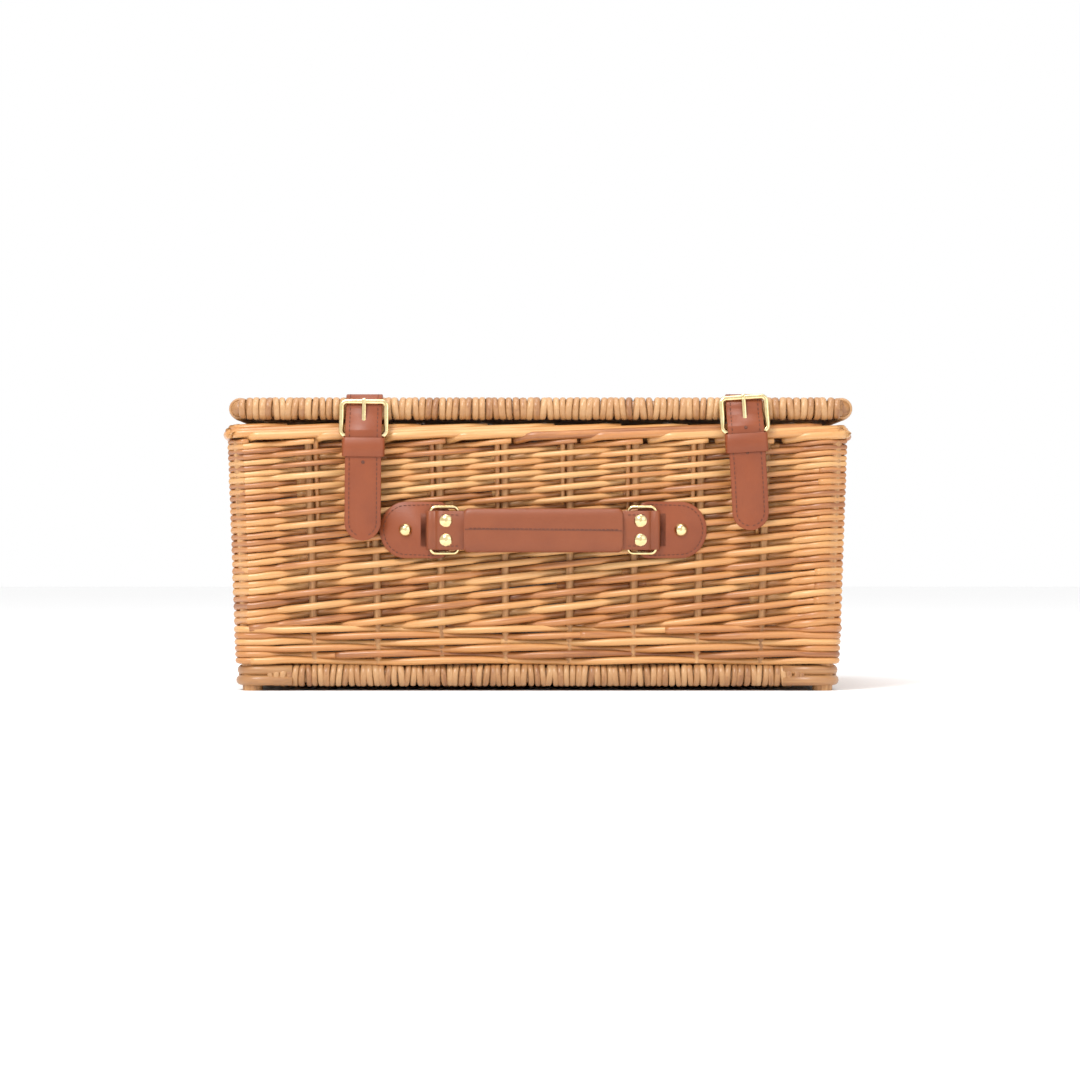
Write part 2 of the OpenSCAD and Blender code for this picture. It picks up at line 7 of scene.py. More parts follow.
import bpy
import numpy as np
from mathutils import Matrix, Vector


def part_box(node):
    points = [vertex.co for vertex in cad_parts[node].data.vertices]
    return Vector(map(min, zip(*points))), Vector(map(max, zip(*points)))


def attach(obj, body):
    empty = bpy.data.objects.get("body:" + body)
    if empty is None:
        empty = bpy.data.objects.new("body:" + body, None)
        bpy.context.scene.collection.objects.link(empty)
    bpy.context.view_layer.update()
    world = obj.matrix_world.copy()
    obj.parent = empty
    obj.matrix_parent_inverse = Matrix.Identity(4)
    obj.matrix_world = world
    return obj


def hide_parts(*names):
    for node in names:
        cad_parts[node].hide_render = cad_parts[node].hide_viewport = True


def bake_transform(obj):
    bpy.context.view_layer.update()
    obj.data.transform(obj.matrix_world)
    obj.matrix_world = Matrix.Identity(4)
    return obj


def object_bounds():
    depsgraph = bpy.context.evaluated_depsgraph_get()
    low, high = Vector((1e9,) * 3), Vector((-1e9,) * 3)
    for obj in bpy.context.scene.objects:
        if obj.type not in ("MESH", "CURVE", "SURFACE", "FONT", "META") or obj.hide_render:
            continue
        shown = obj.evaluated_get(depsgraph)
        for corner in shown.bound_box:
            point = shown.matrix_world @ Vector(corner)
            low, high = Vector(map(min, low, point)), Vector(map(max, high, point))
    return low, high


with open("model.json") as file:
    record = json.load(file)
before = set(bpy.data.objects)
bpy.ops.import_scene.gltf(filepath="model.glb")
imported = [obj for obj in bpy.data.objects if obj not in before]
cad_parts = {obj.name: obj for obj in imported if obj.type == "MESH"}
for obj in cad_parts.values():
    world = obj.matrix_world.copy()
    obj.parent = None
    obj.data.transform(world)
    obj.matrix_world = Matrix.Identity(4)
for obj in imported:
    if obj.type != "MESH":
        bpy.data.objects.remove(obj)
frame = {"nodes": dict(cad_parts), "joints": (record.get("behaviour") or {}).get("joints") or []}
cad_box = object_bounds()
MM = 0.001
random.seed(7)

# ---------- the frame's own sizes, in millimetres ----------


def node_box(name):
    """Lowest and highest corner of a CAD node, in millimetres."""
    low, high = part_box(name)
    return np.array(low) / MM, np.array(high) / MM


def joint_place(name):
    """Position of a joint, in millimetres."""
    joint = next(j for j in frame["joints"] if j["name"] == name)
    return np.array(joint["pos_m"]) / MM


def joint_axis(name):
    """Axis of a joint, of unit length."""
    joint = next(j for j in frame["joints"] if j["name"] == name)
    axis = np.array(joint["axis"], float)
    return axis / np.linalg.norm(axis)


base_low, base_high = node_box("base_frame")
rim_low, rim_high = node_box("top_border")
wrap_low, wrap_high = node_box("corner_wraps")
waling_high = node_box("bottom_waling")[1]
lid_low, lid_high = node_box("lid_frame")

CENTRE_Y = (base_low[1] + base_high[1]) / 2
BASE_HALF_W = (base_high[0] - base_low[0]) / 2
BASE_HALF_D = (base_high[1] - base_low[1]) / 2
FLARE = ((wrap_high[0] - wrap_low[0]) / 2 - BASE_HALF_W) / wrap_high[2]
WALL_MID = 6.5
POST_INSET = 11.5
LONG_STEPS = 9
SHORT_STEPS = 6
LOOP_STEPS = 2 * (LONG_STEPS + SHORT_STEPS)
BAND_LOW = waling_high[2]
BAND_HIGH = rim_low[2]


def half_w(z):
    """Outer reach of the side walls at height z."""
    return BASE_HALF_W + FLARE * z


def half_d(z):
    """Outer reach of the front and back walls at height z."""
    return BASE_HALF_D + FLARE * z


def smooth(t):
    """Smooth step from 0 to 1."""
    t = np.clip(t, 0, 1)
    return t * t * (3 - 2 * t)


# ---------- meshes from swept tubes ----------

TEXTURE_RUN = 900


class Builder:
    """Collects swept tubes and turns them into one mesh piece."""

    def __init__(self):
        self.points, self.faces, self.tone, self.along, self.around = [], [], [], [], []
        self.count = 0

    def add(self, rings, tone, along, caps=(True, True), closed=False):
        """rings is (n, sides, 3) in millimetres; along is the distance of each ring along its rod."""
        n, sides = rings.shape[:2]
        start = self.count
        self.points.append(rings.reshape(-1, 3))
        self.tone.append(np.full(n * sides, tone))
        self.along.append(np.repeat(along, sides))
        self.around.append(np.tile(np.arange(sides) / sides, n))
        grid = start + np.arange(n * sides).reshape(n, sides)
        beside = np.roll(grid, -1, axis=1)
        corners = np.stack([grid, beside, np.roll(beside, -1, axis=0), np.roll(grid, -1, axis=0)], axis=-1)
        quads = corners if closed else corners[:-1]
        self.faces.extend(quads.reshape(-1, 4).tolist())
        if not closed and caps[0]:
            self.faces.append(grid[0][::-1].tolist())
        if not closed and caps[1]:
            self.faces.append(grid[-1].tolist())
        self.count += n * sides

    def piece(self, name, material, angle=None):
        """The finished object, in metres; edges sharper than angle, in degrees, stay sharp."""
        mesh = bpy.data.meshes.new(name)
        mesh.from_pydata((np.concatenate(self.points) * MM).tolist(), [], self.faces)
        for key, values in (("tone", self.tone), ("along", self.along), ("around", self.around)):
            layer = mesh.attributes.new(key, "FLOAT", "POINT")
            layer.data.foreach_set("value", np.concatenate(values).astype(np.float32))
        mesh.validate()
        mesh.shade_smooth()
        if angle is not None:
            mesh.set_sharp_from_angle(angle=math.radians(angle))
        mesh.materials.append(material)
        obj = bpy.data.objects.new(name, mesh)
        bpy.context.scene.collection.objects.link(obj)
        return obj


def sweep(path, radius, sides=8, ref=(0, 0, 1), flat=1.0, closed=False):
    """Rings of an oval section along path. flat scales the section across ref."""
    path = np.asarray(path, float)
    ahead = np.roll(path, -1, axis=0)
    behind = np.roll(path, 1, axis=0)
    if not closed:
        ahead[-1] = path[-1]
        behind[0] = path[0]
    tangent = ahead - behind
    tangent /= np.linalg.norm(tangent, axis=1)[:, None]
    across = np.cross(tangent, np.asarray(ref, float))
    across /= np.linalg.norm(across, axis=1)[:, None]
    up = np.cross(across, tangent)
    turn = 2 * math.pi * np.arange(sides) / sides
    radius = np.broadcast_to(np.asarray(radius, float), len(path))[:, None, None]
    cosine, sine = np.cos(turn)[None, :, None], np.sin(turn)[None, :, None]
    section = flat * cosine * across[:, None] + sine * up[:, None]
    return path[:, None] + radius * section


def lengths(path):
    """Distance of each point along its path."""
    steps = np.linalg.norm(np.diff(path, axis=0), axis=1)
    return np.concatenate([[0], np.cumsum(steps)])


def rod_lengths(path):
    """Distances along a rod, begun at a random place in its texture."""
    return lengths(path) + random.uniform(0, TEXTURE_RUN)


def wobble(count, size, waves=3):
    """Smooth random variation along a path."""
    t = np.linspace(0, 1, count)
    total = np.zeros(count)
    for k in range(1, waves + 1):
        total += random.uniform(-1, 1) * np.sin(2 * math.pi * (k * t + random.random())) / k
    return size * total


# ---------- materials ----------


def new_material(name):
    """Empty node material with its Principled shader."""
    material = bpy.data.materials.new(name)
    material.use_nodes = True
    return material, material.node_tree, material.node_tree.nodes["Principled BSDF"]


def fill(tree, node, inputs):
    """Fills a node's inputs, given by name or number: with values, or with links from sockets."""
    for key, value in inputs.items():
        if isinstance(value, bpy.types.NodeSocket):
            tree.links.new(value, node.inputs[key])
        else:
            node.inputs[key].default_value = value


def add_node(tree, kind, **inputs):
    """First output of a new node with its named inputs filled."""
    node = tree.nodes.new(kind)
    fill(tree, node, inputs)
    return node.outputs[0]


def ramp(tree, factor, stops):
    """Colour ramp with (position, colour) stops."""
    node = tree.nodes.new("ShaderNodeValToRGB")
    tree.links.new(factor, node.inputs[0])
    elements = node.color_ramp.elements
    while len(elements) < len(stops):
        elements.new(0.5)
    for element, (place, colour) in zip(elements, stops):
        element.position = place
        element.color = (*colour, 1)
    return node.outputs[0]


def math_node(tree, operation, a, b=0.0, c=0.0):
    """Result of a maths node."""
    node = tree.nodes.new("ShaderNodeMath")
    node.operation = operation
    fill(tree, node, {0: a, 1: b, 2: c})
    return node.outputs[0]


def mix_colour(tree, factor, a, b):
    """Mix of two colours."""
    node = tree.nodes.new("ShaderNodeMix")
    node.data_type = "RGBA"
    fill(tree, node, {0: factor, 6: a, 7: b})
    return node.outputs[2]


def bump(tree, height, strength, depth):
    """Surface normal roughened by a texture; depth is in metres."""
    return add_node(tree, "ShaderNodeBump", Strength=strength, Distance=depth, Height=height)


def object_place(tree):
    """Place in the object's own frame, for textures."""
    return tree.nodes.new("ShaderNodeTexCoord").outputs["Object"]


def attribute(tree, name):
    """Value of a mesh attribute."""
    node = tree.nodes.new("ShaderNodeAttribute")
    node.attribute_name = name
    return node.outputs["Fac"]


def willow_material(name, stops, roughness=0.36, streak=0.5):
    """Peeled willow: each rod has its own tone, with streaks along it, darker knots and fine fibre."""
    material, tree, shader = new_material(name)
    tone = attribute(tree, "tone")
    along = attribute(tree, "along")
    around = attribute(tree, "around")

    def rod_place(along_scale, around_scale, tone_scale):
        """Place on a rod for textures; its tone sets it apart from the other rods."""
        return add_node(tree, "ShaderNodeCombineXYZ",
                        X=math_node(tree, "MULTIPLY", along, along_scale),
                        Y=math_node(tree, "MULTIPLY", around, around_scale),
                        Z=math_node(tree, "MULTIPLY", tone, tone_scale))

    place = rod_place(0.035, 6.0, 97.0)
    streaks = add_node(tree, "ShaderNodeTexNoise", Vector=place, Scale=2.2, Detail=5.0, Roughness=0.6)
    patches = add_node(tree, "ShaderNodeTexNoise", Vector=place, Scale=0.6, Detail=2.0)
    shade = math_node(tree, "MULTIPLY", tone, 0.75)
    for noise, middle, weight in ((streaks, 0.5, streak), (patches, 0.38, 0.9)):
        change = math_node(tree, "MULTIPLY", math_node(tree, "SUBTRACT", noise, middle), weight)
        shade = math_node(tree, "ADD", shade, change)
    knots = add_node(tree, "ShaderNodeTexVoronoi", Vector=rod_place(0.022, 1.6, 53.0), Scale=1.0)
    away = math_node(tree, "SMOOTH_MIN", math_node(tree, "MULTIPLY", knots, 20.0), 1.0, 0.2)
    knot_mask = math_node(tree, "MAXIMUM", math_node(tree, "SUBTRACT", 1.0, away), 0.0)
    knot_share = math_node(tree, "MULTIPLY", knot_mask, 0.6)
    fibre = add_node(tree, "ShaderNodeTexNoise", Vector=rod_place(0.05, 30.0, 61.0), Scale=1.5, Detail=3.0)
    fill(tree, shader, {
        "Base Color": mix_colour(tree, knot_share, ramp(tree, shade, stops), KNOT_COLOUR),
        "Normal": bump(tree, fibre, 0.35, 0.0003),
        "Roughness": math_node(tree, "ADD", roughness - 0.08, math_node(tree, "MULTIPLY", streaks, 0.2)),
        "Coat Weight": 0.3,
        "Coat Roughness": 0.25,
    })
    return material


def stick_material():
    """Duller stick wood for CAD stakes, posts and base sticks, with grain along their length."""
    material, tree, shader = new_material("stick_wood")
    stretch = add_node(tree, "ShaderNodeMapping", Vector=object_place(tree), Scale=(420, 420, 26))
    grain = add_node(tree, "ShaderNodeTexNoise", Vector=stretch, Scale=1.0, Detail=5.0, Roughness=0.65)
    fill(tree, shader, {
        "Base Color": ramp(tree, grain, STICK_STOPS),
        "Normal": bump(tree, grain, 0.5, 0.0004),
        "Roughness": 0.55,
    })
    return material


def leather_material(name, base, deep):
    """Smooth tan leather: slight pores, faint clouding and a soft sheen."""
    material, tree, shader = new_material(name)
    place = object_place(tree)
    clouds = add_node(tree, "ShaderNodeTexNoise", Vector=place, Scale=45.0, Detail=4.0)
    pores = add_node(tree, "ShaderNodeTexVoronoi", Vector=place, Scale=1500.0)
    fine = add_node(tree, "ShaderNodeTexNoise", Vector=place, Scale=900.0, Detail=4.0)
    grain = math_node(tree, "ADD", pores, math_node(tree, "MULTIPLY", fine, 0.8))
    fill(tree, shader, {
        "Base Color": ramp(tree, clouds, [(0.3, deep), (0.7, base)]),
        "Normal": bump(tree, grain, 0.22, 0.00025),
        "Roughness": math_node(tree, "ADD", 0.36, math_node(tree, "MULTIPLY", clouds, 0.16)),
        "Specular IOR Level": 0.45,
    })
    return material


def brass_material():
    """Pale polished brass plate with fine rubbing."""
    material, tree, shader = new_material("brass_plate")
    rub = add_node(tree, "ShaderNodeTexNoise", Vector=object_place(tree), Scale=300.0, Detail=4.0)
    fill(tree, shader, {
        "Base Color": ramp(tree, rub, [(0.3, (0.72, 0.55, 0.26)), (0.7, (0.84, 0.70, 0.40))]),
        "Roughness": math_node(tree, "ADD", 0.12, math_node(tree, "MULTIPLY", rub, 0.12)),
        "Metallic": 1.0,
    })
    return material


def cloth_material():
    """Plain grey cloth: fine threads both ways."""
    material, tree, shader = new_material("lining_cloth")
    place = object_place(tree)
    threads = []
    for stretch in ((2200, 2200, 240), (260, 260, 2600)):
        stretched = add_node(tree, "ShaderNodeMapping", Vector=place, Scale=stretch)
        threads.append(add_node(tree, "ShaderNodeTexNoise", Vector=stretched, Scale=1.0, Detail=2.0))
    weave = math_node(tree, "MULTIPLY", math_node(tree, "ADD", *threads), 0.5)
    fill(tree, shader, {
        "Base Color": ramp(tree, weave, [(0.3, (0.17, 0.17, 0.165)), (0.7, (0.27, 0.27, 0.26))]),
        "Normal": bump(tree, weave, 0.3, 0.0002),
        "Roughness": 0.85,
        "Sheen Weight": 0.2,
    })
    return material


def thread_material():
    """Dark brown sewing thread."""
    material, tree, shader = new_material("thread")
    twist = add_node(tree, "ShaderNodeTexNoise", Vector=object_place(tree), Scale=1500.0, Detail=2.0)
    colour = ramp(tree, twist, [(0.3, (0.07, 0.02, 0.01)), (0.7, (0.16, 0.05, 0.025))])
    fill(tree, shader, {"Base Color": colour, "Roughness": 0.7})
    return material


KNOT_COLOUR = (0.16, 0.06, 0.02, 1)
STICK_STOPS = [(0.3, (0.26, 0.115, 0.04)), (0.55, (0.45, 0.23, 0.09)), (0.75, (0.58, 0.33, 0.14))]
WILLOW_STOPS = [(0.0, (0.25, 0.085, 0.024)), (0.3, (0.44, 0.175, 0.05)),
                (0.62, (0.55, 0.26, 0.082)), (1.0, (0.64, 0.375, 0.15))]
willow = willow_material("willow_rod", WILLOW_STOPS)
SPLIT_STOPS = [(0.0, (0.25, 0.10, 0.032)), (0.35, (0.39, 0.19, 0.07)), (1.0, (0.50, 0.285, 0.125))]
willow_skin = willow_material("willow_split", SPLIT_STOPS, roughness=0.42)
stick_wood = stick_material()
leather = leather_material("tan_leather", (0.235, 0.052, 0.012), (0.195, 0.040, 0.009))
grip_leather = leather_material("grip_leather", (0.225, 0.056, 0.016), (0.195, 0.046, 0.013))
brass = brass_material()
cloth = cloth_material()
thread = thread_material()

# ---------- woven walls ----------

WALLS = ("front_weave", "right_weave", "back_weave", "left_weave")
WALL_STEPS = (LONG_STEPS, SHORT_STEPS, LONG_STEPS, SHORT_STEPS)
WALL_START = (0, LONG_STEPS, LONG_STEPS + SHORT_STEPS, 2 * LONG_STEPS + SHORT_STEPS)
PER_STEP = 12
CORNER_PARTS = 6


def on_wall(wall, part, depth, z):
    """Point on a wall: part runs from -1 to 1 between its posts, depth inwards from its face."""
    w = half_w(z)
    d = half_d(z)
    long_way = part * ((w if wall % 2 == 0 else d) - POST_INSET)
    reach = (d if wall % 2 == 0 else w) - depth
    turn = wall * math.pi / 2
    x = long_way * math.cos(turn) + reach * math.sin(turn)
    y = long_way * math.sin(turn) - reach * math.cos(turn)
    return x, y + CENTRE_Y, z


def round_corner(wall, share, depth, z):
    """Point round the post that follows a wall; share runs from 0 to 1."""
    w = half_w(z) - POST_INSET
    d = half_d(z) - POST_INSET
    sx, sy = ((1, -1), (1, 1), (-1, 1), (-1, -1))[wall]
    turn = (wall - 1 + share) * math.pi / 2
    r = POST_INSET - depth
    return sx * w + r * math.cos(turn), sy * d + r * math.sin(turn) + CENTRE_Y, z


def loop_samples(start, end):
    """(wall, step, share) along the loop of posts and stakes; share is None on a wall."""
    samples = []
    count = int(round((end - start) * PER_STEP))
    for i in range(count + 1):
        step = start + (end - start) * i / count
        inside = step % LOOP_STEPS
        wall = max(w for w in range(4) if WALL_START[w] <= inside + 1e-9)
        local = inside - WALL_START[wall]
        if abs(local) < 1e-6 and 0 < i:
            before = (wall - 1) % 4
            for k in range(CORNER_PARTS + 1):
                samples.append((before, step, k / CORNER_PARTS))
            continue
        samples.append((wall, step, None))
    return samples


def loop_path(samples, depth_at, z_at):
    """Points of a rod along the loop, and the wall that each belongs to."""
    points, owners = [], []
    for wall, step, share in samples:
        z = z_at(step)
        depth = depth_at(step)
        if share is None:
            local = step % LOOP_STEPS - WALL_START[wall]
            points.append(on_wall(wall, -1 + 2 * local / WALL_STEPS[wall], depth, z))
            owners.append(wall)
        else:
            points.append(round_corner(wall, share, depth, z))
            owners.append(wall if share < 0.5 else (wall + 1) % 4)
    return np.array(points), owners


def near_post(step):
    """1 at a corner post, falling to 0 half-way to the next stake."""
    inside = step % LOOP_STEPS
    gap = min(min(abs(inside - s), abs(inside - s - LOOP_STEPS)) for s in WALL_START)
    return 1 - float(smooth((gap - 0.16) / 0.4))


def add_by_wall(builders, path, owners, rings, tone):
    """Shares a rod's rings out between the wall pieces; neighbours share the ring at the cut."""
    along = rod_lengths(path)
    first = 0
    for i in range(1, len(owners) + 1):
        if i == len(owners) or owners[i] != owners[first]:
            last = min(i, len(owners) - 1)
            ends = (first == 0, last == len(owners) - 1)
            if last > first:
                builders[owners[first]].add(rings[first:last + 1], tone, along[first:last + 1], caps=ends)
            first = i


ROD_OVERLAP = 0.2
PITCH_LOW = 5.3
PITCH_DROP = 0.052


def row_height(row):
    """Height of a weaving row; rows get thinner towards the rim."""
    return BAND_LOW + PITCH_LOW * row - 0.5 * PITCH_DROP * row * row - 1.5


def row_count():
    """Rows that fit between the bottom band and the rim."""
    row = 0.0
    while row_height(row) < BAND_HIGH - 0.5:
        row += 0.1
    return row


def weave_walls():
    """Rods that climb one row at each stake, in front of one and behind the next."""
    builders = [Builder() for _ in range(4)]
    top_row = row_count()
    for strand in range(LOOP_STEPS):
        step = strand
        while step < strand + top_row - 0.5:
            span = random.choice((4, 6, 6, 8))
            start = max(step - ROD_OVERLAP, strand)
            end = min(step + span + ROD_OVERLAP, strand + top_row)
            thick = random.uniform(0.94, 1.08)
            samples = loop_samples(start, end)
            lift = wobble(len(samples), 0.28)
            swing = random.uniform(-0.25, 0.25)

            def depth_at(s, strand=strand, swing=swing):
                free = WALL_MID + 4.7 * math.cos(math.pi * (s - strand)) + swing
                post = near_post(s)
                return free * (1 - post) + 2.0 * post

            path, owners = loop_path(samples, depth_at, lambda s: row_height(s - strand))
            path[:, 2] += lift[:len(path)]
            heights = (path[:, 2] - BAND_LOW) / (BAND_HIGH - BAND_LOW)
            taper = np.linspace(1.05, 0.9, len(path))
            radius = (2.66 - 0.62 * heights) * thick * taper
            rings = sweep(path, radius, sides=8, flat=0.93)
            add_by_wall(builders, path, owners, rings, random.random())
            step += span
    for wall, name in enumerate(WALLS):
        obj = builders[wall].piece(name + "_rods", willow)
        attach(obj, "basket")
        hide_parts(name)


def weave_band():
    """Bottom band: six level rods, each in front of two stakes and behind one."""
    builder = Builder()
    rows = 6
    pitch = (waling_high[2] - base_high[2]) / rows
    for row in range(rows):
        for start in (0, 10, 20):
            begin = start + row * 1.3
            first, last = (round(step * PER_STEP) / PER_STEP for step in (begin, begin + 10.4))
            samples = loop_samples(first, last)
            level = base_high[2] + pitch * (row + 0.5)

            def depth_at(s, row=row):
                free = WALL_MID - 1.8 - 3.4 * math.cos(2 * math.pi * (s + row) / 3)
                post = near_post(s)
                return free * (1 - post) + 2.2 * post

            def z_at(s, row=row, level=level):
                return level + 0.8 * math.sin(2 * math.pi * (s + row) / 3 + 0.6) * (1 - near_post(s))

            path, owners = loop_path(samples, depth_at, z_at)
            path[:, 2] += wobble(len(path), 0.25)
            rings = sweep(path, np.linspace(2.75, 2.35, len(path)), sides=8)
            add_by_wall([builder] * 4, path, owners, rings, random.random())
    obj = builder.piece("bottom_band_rods", willow)
    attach(obj, "basket")
    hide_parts("bottom_waling", "corner_wraps")


def inserted_stakes():
    """Thin second stake beside each stake, pushed in from the rim."""
    builder = Builder()
    for wall in range(4):
        steps = WALL_STEPS[wall]
        for k in range(1, steps):
            low = BAND_HIGH - random.uniform(45, 85)
            part = -1 + 2 * (k - 0.115 * random.choice((1, 1, 1, -1))) / steps
            heights = np.linspace(low, BAND_HIGH + 2, 24)
            path = np.array([on_wall(wall, part, WALL_MID - 0.3, z) for z in heights])
            ref = (1, 0, 0) if wall % 2 else (0, 1, 0)
            rings = sweep(path, np.linspace(1.3, 2.1, 24), sides=8, ref=ref)
            builder.add(rings, random.uniform(0.2, 0.7), rod_lengths(path))
    obj = builder.piece("inserted_stakes", willow)
    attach(obj, "basket")


RIM_CORNER = 14


def rim_point(step, depth, z):
    """Point in the rim: it stands out from the walls, with round corners."""
    inside = step % LOOP_STEPS
    wall = max(w for w in range(4) if WALL_START[w] <= inside + 1e-9)
    part = -1 + 2 * (inside - WALL_START[wall]) / WALL_STEPS[wall]
    reach_w = rim_high[0] - depth
    reach_d = (rim_high[1] - rim_low[1]) / 2 - depth
    reach_along, reach_out = (reach_w, reach_d) if wall % 2 == 0 else (reach_d, reach_w)
    turn = wall * math.pi / 2
    along = part * reach_along
    into_corner = max(0.0, (abs(along) - (reach_along - RIM_CORNER)) / RIM_CORNER)
    out = reach_out - 4.5 * into_corner ** 2
    x = along * math.cos(turn) + out * math.sin(turn)
    y = along * math.sin(turn) - out * math.cos(turn)
    return x, y + CENTRE_Y, z


def weave_rim():
    """Rim: each stake's rod comes out low, climbs over three stakes and tucks in at the top."""
    builder = Builder()
    height = rim_high[2] - rim_low[2]
    run = 3.6
    count = 64
    for rod in range(LOOP_STEPS):
        points = []
        for i in range(count + 1):
            t = i / count
            step = rod + 0.15 + run * t
            out_of = float(smooth(t / 0.08))
            back_in = float(smooth((t - 0.9) / 0.1))
            depth = 10 - 6.8 * out_of + 4.2 * t + 3.5 * back_in
            z = rim_low[2] + 2.8 + (height - 5.9) * min(1, t * 1.08) - 2.0 * (1 - out_of)
            points.append(rim_point(step, depth, z))
        path = np.array(points)
        path[:, 2] += wobble(len(path), 0.25)
        thick = random.uniform(0.93, 1.06)
        rings = sweep(path, np.linspace(3.3, 2.7, len(path)) * thick, sides=10)
        builder.add(rings, random.random(), rod_lengths(path))
    obj = builder.piece("rim_rods", willow)
    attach(obj, "basket")
    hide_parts("top_border")


# ---------- wrapped rails ----------


WRAP_T = 1.15


def wrap_rail(builder, a, b, radius, pitch, skip=()):
    """Split willow wound round a straight rail; skip holds places left bare, each with its reach."""
    a, b = np.array(a, float), np.array(b, float)
    length = np.linalg.norm(b - a)
    axis = (b - a) / length
    side = np.cross(axis, (0, 0, 1))
    angles = 2 * math.pi * np.arange(20) / 20
    place = pitch * 0.6
    while place < length - pitch * 0.4:
        centre = a + axis * place
        bare = any(np.linalg.norm(centre - np.array(spot)) < reach for spot, reach in skip)
        gap = random.random() < 0.02
        if not bare and not gap:
            near_end = min(place, length - place)
            shrink = 1 - 0.16 * max(0.0, 1 - near_end / (2.2 * pitch)) ** 1.5
            wide = pitch * random.uniform(0.46, 0.56)
            tilt = random.uniform(-0.13, 0.13)
            lean_side = random.uniform(-0.1, 0.1)
            turn = angles + random.uniform(0, 0.3)
            r = (radius - WRAP_T) * shrink * random.uniform(0.985, 1.02)
            level, rise = r * np.cos(turn)[:, None], r * np.sin(turn)[:, None]
            lean = axis * (tilt * rise + lean_side * level)
            ring = centre + side * level + np.array((0, 0, 1)) * rise + lean
            rings = sweep(ring, wide, sides=8, ref=axis, flat=1.25 / wide, closed=True)
            builder.add(rings, random.random(), r * angles + random.uniform(0, TEXTURE_RUN), closed=True)
        place += pitch * random.uniform(0.92, 1.06)


def core_rod(builder, a, b, radius):
    """Bare stick inside a wrapped rail."""
    path = np.linspace(a, b, 13)
    builder.add(sweep(path, radius, sides=12), 0.15, lengths(path))


RAIL_R = (lid_high[2] - lid_low[2]) / 2
RAIL_Z = (lid_high[2] + lid_low[2]) / 2
RAIL_X0 = lid_low[0] + RAIL_R
RAIL_X1 = lid_high[0] - RAIL_R
RAIL_Y0 = lid_low[1] + RAIL_R
RAIL_Y1 = lid_high[1] - RAIL_R
CORE_INSET = 2.4
LID_CORNERS = [(RAIL_X0, RAIL_Y0, RAIL_Z), (RAIL_X1, RAIL_Y0, RAIL_Z),
               (RAIL_X1, RAIL_Y1, RAIL_Z), (RAIL_X0, RAIL_Y1, RAIL_Z), (RAIL_X0, RAIL_Y0, RAIL_Z)]


def lid_rails():
    """The lid's wrapped rail, bare under the hinge loops."""
    builder = Builder()
    bare = []
    for side in ("left", "right"):
        low, high = node_box("hinge_strap_" + side)
        bare.append((((low[0] + high[0]) / 2, RAIL_Y1, RAIL_Z), (high[0] - low[0]) / 2 + 2.2))
    for a, b in zip(LID_CORNERS[:-1], LID_CORNERS[1:]):
        wrap_rail(builder, a, b, RAIL_R, 4.7, skip=bare)
        core_rod(builder, a, b, RAIL_R - CORE_INSET)
    obj = builder.piece("lid_frame_wrapping", willow_skin)
    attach(obj, "lid")
    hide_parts("lid_frame")


def corner_bend(sx, sy, level, bulge):
    """Course of a rod bent round a corner of the base, with a straight tail at each end."""
    bend, inset, tail = 12.0, 4.0, 24.0
    turn = np.linspace(0, math.pi / 2, 13)
    corner_x, corner_y = BASE_HALF_W - inset - bend, BASE_HALF_D - inset - bend
    x = sx * (corner_x + (bend + bulge) * np.sin(turn))
    y = sy * (corner_y + (bend + bulge) * np.cos(turn)) + CENTRE_Y
    first = (sx * (corner_x - tail), y[0], level)
    last = (x[-1], sy * (corner_y - tail) + CENTRE_Y, level)
    return np.array([first, *zip(x, y, np.full(len(turn), level)), last])


def base_rails():
    """The base's wrapped rail, with two bare rods bent round each corner."""
    builder = Builder()
    r = (base_high[2] - base_low[2]) / 2
    z = (base_high[2] + base_low[2]) / 2
    x, y = BASE_HALF_W - r, BASE_HALF_D - r
    end = 14.0
    spans = [((-x + end, -y), (x - end, -y)), ((x, -y + end), (x, y - end)),
             ((x - end, y), (-x + end, y)), ((-x, y - end), (-x, -y + end))]
    for a, b in spans:
        first, last = (a[0], a[1] + CENTRE_Y, z), (b[0], b[1] + CENTRE_Y, z)
        wrap_rail(builder, first, last, r, 4.4)
        core_rod(builder, first, last, r - CORE_INSET)
    for sx, sy in ((-1, -1), (1, -1), (1, 1), (-1, 1)):
        for level, bulge in ((z + 3.6, 0.0), (z - 3.6, 0.8)):
            path = corner_bend(sx, sy, level, bulge)
            builder.add(sweep(path, 3.7, sides=12), 0.2 + 0.2 * random.random(), lengths(path))
    obj = builder.piece("base_frame_wrapping", willow_skin)
    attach(obj, "basket")
    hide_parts("base_frame")


# ---------- woven panels ----------


def stick_lines(node, count):
    """Places across x of the sticks of a panel."""
    low, high = node_box(node)
    half = (high[2] - low[2]) / 2
    return np.linspace(low[0] + half, high[0] - half, count)


def weave_panel(name, node, sticks, count, mid_z, swing, body):
    """Rods woven over and under a row of parallel sticks."""
    low, high = node_box(node)
    places = stick_lines(sticks, count)
    gap = places[1] - places[0]
    samples = int((high[0] - low[0]) / 5)
    xs = np.linspace(low[0] + 0.3, high[0] - 0.3, samples)
    builder = Builder()
    row = 0
    y = low[1] + 2.2
    while y < high[1] - 1.5:
        phase = math.pi * ((xs - places[0]) / gap + row)
        slant = 0.65 * np.sin(phase / 2 + 0.4)
        ys = np.clip(y + slant + wobble(samples, 0.3), low[1] + 1.8, high[1] - 1.8)
        path = np.stack([xs, ys, mid_z + swing * np.cos(phase)], axis=1)
        rings = sweep(path, np.linspace(2.45, 2.1, samples), sides=8, ref=(0, 1, 0))
        builder.add(rings, random.random(), rod_lengths(path))
        y += 4.55 * random.uniform(0.97, 1.03)
        row += 1
    obj = builder.piece(name, willow)
    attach(obj, body)
    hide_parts(node)


